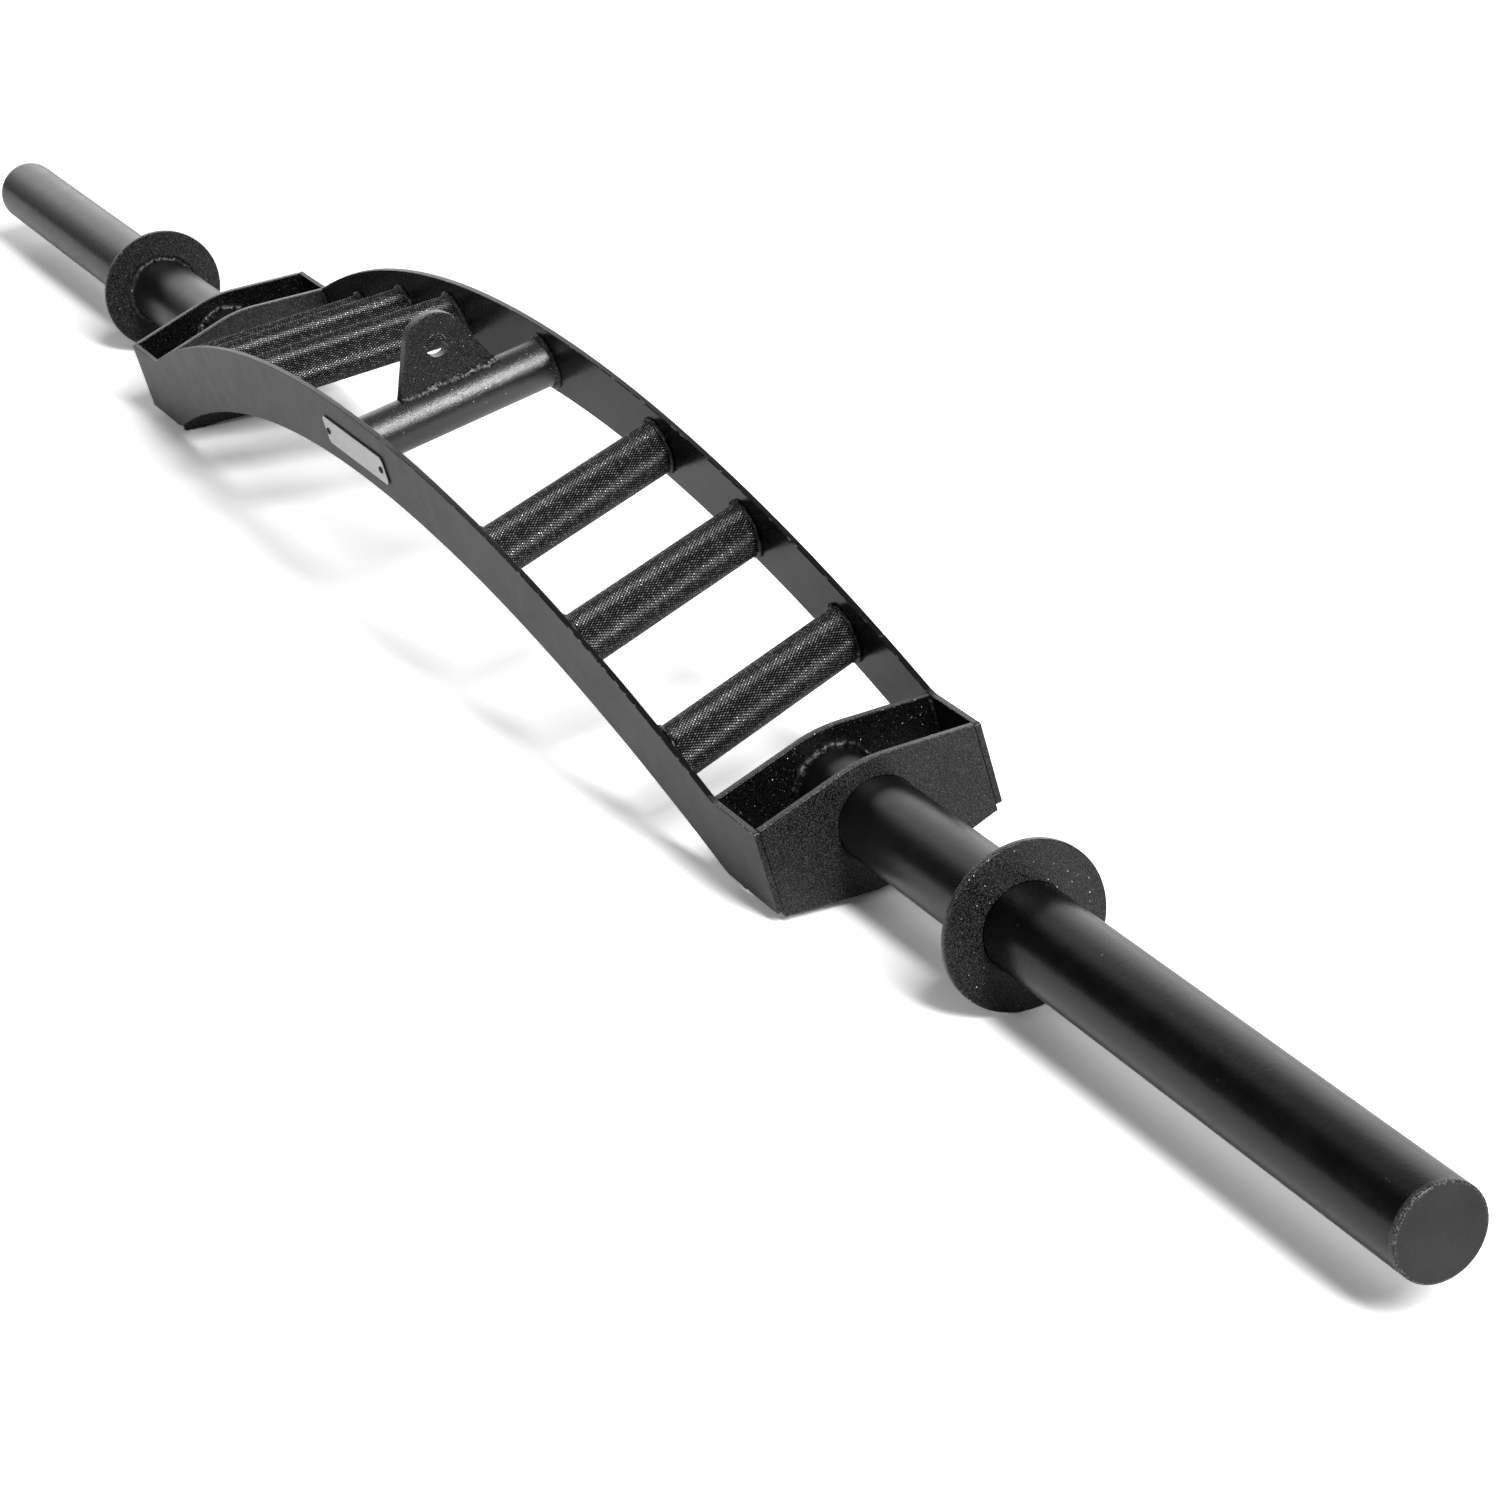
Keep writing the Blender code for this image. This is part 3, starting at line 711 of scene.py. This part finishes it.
def barFrame(direction):
    # the way a bar runs, and two directions square to it and to each other
    a = np.asarray(direction, float)
    a = a / np.linalg.norm(a)
    u = np.cross(a, (0, 0, 1))
    u = u / np.linalg.norm(u)
    return a, u, np.cross(a, u)


def wave(phase):
    # 0 in a groove and 1 on a ridge, straight between, flattened a little on top
    t = 1 - 2 * np.abs(phase - np.round(phase))
    return np.minimum(t * knurl["flatTop"], 1)


def makeHandle(name, node, centre, direction, seed):
    # Two families of spiral grooves. A diamond's height is the lower of the two waves, and the grid's
    # points fall on every quarter of a wave, so its cells are cut along the grooves.
    a, u, w = barFrame(direction)
    cols = knurl["around"] * knurl["cut"]
    step = knurl["along"] / knurl["cut"]
    slant = abs(a[1])
    longest = (reach + knurl["radius"]) / slant
    half = int(math.ceil(longest / step)) + 1
    i = np.arange(cols)
    j = np.arange(-half, half + 1)
    t = i / cols * 2 * math.pi
    ring = np.cos(t)[:, None] * u + np.sin(t)[:, None] * w
    one = (i[None, :] + j[:, None]) / knurl["cut"]
    two = (i[None, :] - j[:, None]) / knurl["cut"]
    height = np.minimum(wave(one), wave(two))
    ends = (np.sign(j)[:, None] * reach - centre[1] - knurl["radius"] * ring[None, :, 1]) / a[1]
    s = np.repeat((j * step)[:, None], cols, 1)
    beyond = np.abs(s) > np.abs(ends)
    s = np.where(beyond, ends, s)
    radius = knurl["radius"] - knurl["deep"] * (1 - height)
    radius = np.where(beyond, knurl["radius"] - knurl["deep"], radius)
    points = np.array(centre) + s[..., None] * a + radius[..., None] * ring[None]
    # each diamond's tip gets a random strength of rubbed bare metal and painted glint
    random = np.random.default_rng(seed)
    diamond = random.random((2 * half * 4, knurl["around"] * 2))
    bright = diamond[np.round(one).astype(int) % diamond.shape[0], np.round(two).astype(int) % diamond.shape[1]]
    least = knurl["leastLit"]
    lit = least + (1 - least) * bright ** knurl["litSpread"]
    glint = np.where(height > knurl["litAbove"], lit, 0) * ~beyond
    close = [np.repeat(np.array([np.array(centre) + a * end / a[1]]), cols, 0) for end in (-reach, reach)]
    points = np.concatenate((close[0][None], points, close[1][None]))
    glint = np.pad(glint, ((1, 1), (0, 0)))
    rows = len(points) - 1
    r = np.arange(rows)[:, None] - 1 - half
    c = np.arange(cols)[None, :]
    swap = (r + c) % 2 == 0
    parts = [sheet(points, wrapCols=True, swap=~swap, glint=glint)]
    return closedPiece(name, parts, knurled, (node,), sharpAngle=18)


def handleLine(side, x):
    # the middle of a handle and the way it runs from the front rail to the back one
    yaw = math.radians(knurl["yaw"])
    return (side * x, 0, bandMiddle(x)), (-side * math.sin(yaw), math.cos(yaw), 0)


for side, word in ((1, "right"), (-1, "left")):
    for order, (spot, x) in enumerate(knurl["spots"].items()):
        makeHandle("grip_%s_%s" % (word, spot), "handle_%s_%s" % (word, spot), *handleLine(side, x),
                   10 + order + (3 if side > 0 else 0))
print("handles made")

# Weld beads
beads = {
    "handle": 0.0024, "sleeve": 0.0036, "tube": 0.0024, "lug": 0.0025, "corner": 0.0022,
    "ripple": 0.12, "lump": 0.24, "drift": 0.9, "pitch": 0.0021, "bend": 0.315, "fullest": 1.25,
    "steps": 9, "roundBar": 150, "roundSleeve": 190, "corners": 60, "footPoints": 120, "footDip": 20,
    "wornAbove": 0.75, "wornRise": 1.6,  # edges of a bead count as worn where it bulges most
}


def makeBead(name, node, corner, legA, legB, size, closed, seed, material=beadCoat):
    # Section by section, a bulge fills the corner between two directions. Its size follows the ripples
    # that a weld leaves, and a few slow waves with random starts.
    count = len(corner)
    travel = np.linalg.norm(np.diff(corner, axis=0), axis=1)
    along = np.concatenate(((0,), np.cumsum(travel)))
    total = along[-1] + (np.linalg.norm(corner[0] - corner[-1]) if closed else 0)
    turns = max(3, round(total / beads["pitch"]))
    random = np.random.default_rng(seed)
    phi = np.linspace(0, math.pi / 2, beads["steps"])
    bend = beads["bend"] * np.sin(2 * phi)
    drift = sum(np.sin(2 * math.pi * (k * along / total + random.random())) for k in (3, 7, 11, 19)) / 2
    phase = along[:, None] / total * turns + bend[None, :] + beads["drift"] * drift[:, None]
    ripple = np.abs(np.sin(math.pi * phase))
    lump = np.zeros((count, len(phi)))
    for k in (2, 3, 5, 9, 16, 27):
        lump += np.sin(2 * math.pi * (k * along[:, None] / total + random.random()) + 1.3 * phi[None, :]) / 3.2
    scale = 1 + beads["ripple"] * (ripple - 0.6) + beads["lump"] * lump
    if not closed:
        taper = np.clip(np.minimum(along, total - along) / size, 0, 1)[:, None]
        scale = scale * np.sqrt(taper * (2 - taper))
    out = np.minimum(scale, beads["fullest"])[..., None] * size * (
        np.cos(phi)[None, :, None] * legA[:, None, :] + np.sin(phi)[None, :, None] * legB[:, None, :])
    rows = np.concatenate((corner[:, None, :], corner[:, None, :] + out), 1)
    high = np.clip(scale - beads["wornAbove"], 0, 1) * beads["wornRise"]
    high = np.concatenate((np.zeros((count, 1)), high), 1)
    parts = [sheet(rows, wrapRows=closed, wrapCols=True, edge=np.clip(high, 0, 1))]
    return closedPiece(name, parts, material, (node,), sharpAngle=60)


def barEndBead(name, node, centre, direction, radius, side, size, seed):
    # round the end of a bar, in the corner between it and a rail
    a, u, w = barFrame(direction)
    t = np.linspace(0, 2 * math.pi, beads["roundBar"], endpoint=False)
    ring = np.cos(t)[:, None] * u + np.sin(t)[:, None] * w

    def onRail(r):
        start = np.array(centre) + r * ring
        return start + a * ((side * reach - start[:, 1]) / a[1])[:, None]

    corner = onRail(radius)
    legA = np.repeat((-a * side * math.copysign(1, a[1]))[None], len(t), 0)
    legB = (onRail(radius + 0.001) - corner) / 0.001
    return makeBead(name, node, corner, legA, legB, size, True, seed)


def alike(direction, count):
    # the same direction at every section
    return np.repeat(np.array((direction,), float), count, 0)


def sleeveBead(name, node, x, toward, seed):
    # round a sleeve, in the corner between it and a plate
    t = np.linspace(0, 2 * math.pi, beads["roundSleeve"], endpoint=False)
    r = sleeveShape["radius"]
    ring = np.stack((np.zeros(len(t)), np.cos(t), np.sin(t)), -1)
    corner = ring * r + (x, 0, 0)
    return makeBead(name, node, corner, alike((toward, 0, 0), len(t)), ring, beads["sleeve"], True, seed)


def cornerBead(name, node, x, toward, side, seed):
    # up the corner between an end plate and a rail
    count = beads["corners"]
    z = np.linspace(railShape["bottom"] + 0.002, railShape["top"] - 0.0015, count)
    corner = np.stack((np.full(count, x), np.full(count, side * reach), z), -1)
    return makeBead(name, node, corner, alike((toward, 0, 0), count), alike((0, -side, 0), count),
                    beads["corner"], False, seed)


def lugBead(name, node, side, seed):
    # along the lug's foot, between its face and the tube's falling side
    count = beads["footPoints"]
    y = np.linspace(-lugShape["foot"], lugShape["foot"] + 0.0025, count)
    x = lugShape["thick"] / 2
    z = tubeShape["height"] + math.sqrt(tubeShape["radius"] ** 2 - x * x)
    corner = np.stack((np.full(count, side * x), y, np.full(count, z)), -1)
    dip = math.radians(beads["footDip"])
    legB = alike((side * math.cos(dip), 0, -math.sin(dip)), count)
    return makeBead(name, node, corner, alike((0, 0, 1), count), legB, beads["lug"], False, seed, brightBead)


seed = 40
for side, word in ((1, "right"), (-1, "left")):
    for spot, x in knurl["spots"].items():
        for end, row in ((-1, "front"), (1, "back")):
            seed += 1
            label = "_".join((word, spot, row))
            barEndBead("bead_" + label, "weld_" + label, *handleLine(side, x),
                       knurl["radius"] - knurl["deep"], end, beads["handle"], seed)
    inner, outer, thick = side * plateShape["innerX"], side * railShape["end"], side * plateShape["thick"]
    back = side * (sleeveShape["collarFace"] - sleeveShape["collarThick"])
    sleeveBead("bead_sleeve_inner_" + word, "weld_sleeve_inner_" + word, inner + thick, side, seed + 100)
    sleeveBead("bead_sleeve_outer_" + word, "weld_sleeve_outer_" + word, outer - thick, -side, seed + 101)
    sleeveBead("bead_collar_" + word, "weld_collar_" + word, back, -side, seed + 102)
    lugBead("bead_lug_" + word, "weld_lug_" + word, side, seed + 103)
    for edge, row in ((-1, "front"), (1, "back")):
        for spot, x, toward, more in (("grip", inner, -side, 110), ("box", inner + thick, side, 120),
                                      ("end", outer - thick, -side, 130)):
            label = "%s_corner_%s_%s" % (spot, word, row)
            cornerBead("bead_" + label, "weld_" + label, x, toward, edge, seed + more + edge)
for side, word in ((-1, "front"), (1, "back")):
    barEndBead("bead_tube_" + word, "weld_tube_" + word, (0, 0, tubeShape["height"]), (0, 1, 0),
               tubeShape["radius"], side, beads["tube"], 200 + side)
print("beads made")

# Name plate, left bare, and its two rivets
tag = {
    "length": 0.105, "height": 0.0198, "thick": 0.0012, "x": 0.0037, "z": 0.099, "cut": 0.0025,
    "rivetGap": 0.0932, "rivetRadius": 0.0024, "rivetHigh": 0.001, "rivetSteps": 7, "rivetSegments": 32,
    "rim": 0.0003,
}


def makeTag(name):
    # a flat plate whose four corners are cut off, on the front rail's outer face
    a, b, cut = tag["length"] / 2, tag["height"] / 2, tag["cut"]
    half = np.array(((a - cut, -b), (a, -b + cut), (a, b - cut), (a - cut, b)))
    outline = np.concatenate((half, (half * (-1, 1))[::-1]))
    near = -railShape["halfWidth"] - touch["gap"]

    def place(loop, d):
        return np.stack((loop[:, 0] + tag["x"], np.full(len(loop), near - d), loop[:, 1] + tag["z"]), -1)

    parts = slab(outline, np.zeros((len(outline), 2)), place, tag["thick"], tag["rim"])
    return closedPiece(name, parts, silver, ("name_plate",))


def makeRivet(name, node, x):
    # a low dome: its radius falls off round a quarter turn as it rises
    s, c = quarter(tag["rivetSteps"])
    base = -railShape["halfWidth"] - 2 * touch["gap"] - tag["thick"]
    profile = np.vstack(((0, 0), np.stack((tag["rivetHigh"] * s, tag["rivetRadius"] * c), -1)))
    rows = turnedRows(profile, tag["rivetSegments"])
    rows = np.stack((rows[..., 1] + x, base - rows[..., 0], rows[..., 2] + tag["z"]), -1)
    return closedPiece(name, [sheet(rows, wrapCols=True)], satin, (node,), sharpAngle=50)


makeTag("bare_tag")
for side, word in ((1, "right"), (-1, "left")):
    makeRivet("tag_rivet_" + word, "rivet_" + word, tag["x"] + side * tag["rivetGap"] / 2)
print("name plate made")

# Floor, light and camera
studio = {
    "floorSize": 24.0, "floorPale": 0.3, "floorSeen": 1.6, "inReflections": 0.5, "floorGrain": 4.0,
    "floorChange": 0.01, "floorRough": 0.9, "lampsRound": (0.6, 0.0, 0.0),
    "panelTowards": (-0.94, 0.34), "panelStrength": 1.7, "panelSide": (0.76, 0.92), "panelTop": (0.54, 0.68),
    "dark": 0.02, "overhead": 0.3, "overheadFrom": (0.68, 0.88),
}
# each lamp is a wide soft box: where it hangs round the bar in degrees, how far off, how large and how bright
lamps = {
    "key": {"azimuth": 0, "height": 45, "far": 9.0, "size": (1.8, 4.8), "roll": 20, "radiance": 28.0},
    "side": {"azimuth": 40, "height": 40, "far": 6.0, "size": (1.6, 2.4), "roll": 0, "radiance": 5.2},
    "front": {"azimuth": -98, "height": 22, "far": 6.0, "size": (5.0, 1.7), "roll": 0, "radiance": 3.3},
}


def seenShare(tree):
    # 1 for what the camera sees, a part of that in a reflection, 0 for light that falls on things
    path = tree.nodes.new("ShaderNodeLightPath")
    mirrored = sums(tree, "ADD", path.outputs["Is Glossy Ray"], path.outputs["Is Transmission Ray"])
    share = sums(tree, "MULTIPLY", mirrored, studio["inReflections"])
    return sums(tree, "ADD", path.outputs["Is Camera Ray"], share, clamp=True)


def makeFloor():
    # a plain sheet; the camera sees a lighter colour than the one that sends light back onto the bar,
    # so it looks white beside the dark bar and keeps the shadow
    half = studio["floorSize"] / 2
    mesh = bpy.data.meshes.new("floor")
    mesh.from_pydata([(-half, -half, 0), (half, -half, 0), (half, half, 0), (-half, half, 0)], [], [(0, 1, 2, 3)])
    floor = bpy.data.objects.new("floor", mesh)
    bpy.context.scene.collection.objects.link(floor)
    material, tree, shader, place = startMaterial("pale_floor")
    grain = noise(tree, place, studio["floorGrain"])
    falls, shows = [mixColour(tree, grain, (level,) * 3, (level + studio["floorChange"],) * 3)
                    for level in (studio["floorPale"], studio["floorSeen"])]
    tree.links.new(mixColour(tree, seenShare(tree), falls, shows), shader.inputs["Base Color"])
    shader.inputs["Roughness"].default_value = studio["floorRough"]
    shader.inputs["Specular IOR Level"].default_value = 0.0
    mesh.materials.append(material)


def makeWorld():
    # a dark room with a pale wall behind the bar's left end and a faint glow overhead; the camera sees white
    world = bpy.data.worlds.new("studio")
    bpy.context.scene.world = world
    world.use_nodes = True
    tree = world.node_tree
    background = tree.nodes["Background"]
    split = tree.nodes.new("ShaderNodeSeparateXYZ")
    tree.links.new(tree.nodes.new("ShaderNodeTexCoord").outputs["Generated"], split.inputs[0])
    x, y, z = split.outputs
    east, north = studio["panelTowards"]
    towards = sums(tree, "ADD", sums(tree, "MULTIPLY", x, east), sums(tree, "MULTIPLY", y, north))
    level = sums(tree, "SQRT", sums(tree, "SUBTRACT", 1.0, sums(tree, "MULTIPLY", z, z)), 0.0)
    aside = stretch(tree, sums(tree, "DIVIDE", towards, level), *studio["panelSide"])
    below = stretch(tree, z, *studio["panelTop"], 1.0, 0.0)
    panel = sums(tree, "MULTIPLY", sums(tree, "MULTIPLY", aside, below), studio["panelStrength"])
    above = stretch(tree, z, *studio["overheadFrom"], studio["dark"], studio["overhead"])
    path = tree.nodes.new("ShaderNodeLightPath")
    sky = sums(tree, "ADD", panel, above)
    tree.links.new(sums(tree, "MAXIMUM", sky, path.outputs["Is Camera Ray"]), background.inputs["Strength"])
    background.inputs["Color"].default_value = (1, 1, 1, 1)


def makeLamp(name, look):
    # hung on a sphere round a point near the bar's right end, and turned to face it
    azimuth, height = math.radians(look["azimuth"]), math.radians(look["height"])
    away = Vector((math.cos(height) * math.cos(azimuth), math.cos(height) * math.sin(azimuth), math.sin(height)))
    soft = bpy.data.lights.new(name, "AREA")
    soft.shape = "RECTANGLE"
    soft.size, soft.size_y = look["size"]
    soft.energy = look["radiance"] * math.pi * soft.size * soft.size_y
    lamp = bpy.data.objects.new(name, soft)
    turn = away.to_track_quat("Z", "Y").to_matrix().to_4x4()
    roll = Matrix.Rotation(math.radians(look["roll"]), 4, "Z")
    lamp.matrix_world = Matrix.Translation(Vector(studio["lampsRound"]) + away * look["far"]) @ turn @ roll
    bpy.context.scene.collection.objects.link(lamp)


view = {
    "from": (2.34817, -0.88242, 0.94690), "aim": (0.52439, -0.05803, 0.10000), "roll": -3.851, "lens": 98.151,
}


def makeCamera():
    # stands at one point, looks at another, and is rolled a little about that line
    camera = bpy.data.objects.new("camera", bpy.data.cameras.new("camera"))
    bpy.context.scene.collection.objects.link(camera)
    camera.data.sensor_width = 36
    camera.data.lens = view["lens"]
    back = Vector(view["from"]) - Vector(view["aim"])
    turn = back.to_track_quat("Z", "Y").to_matrix().to_4x4()
    roll = Matrix.Rotation(math.radians(view["roll"]), 4, "Z")
    camera.matrix_world = Matrix.Translation(view["from"]) @ turn @ roll
    bpy.context.scene.camera = camera


makeFloor()
makeWorld()
for word, look in lamps.items():
    makeLamp(word, look)
makeCamera()
bpy.context.scene.view_settings.view_transform = "Standard"
print("stage set")
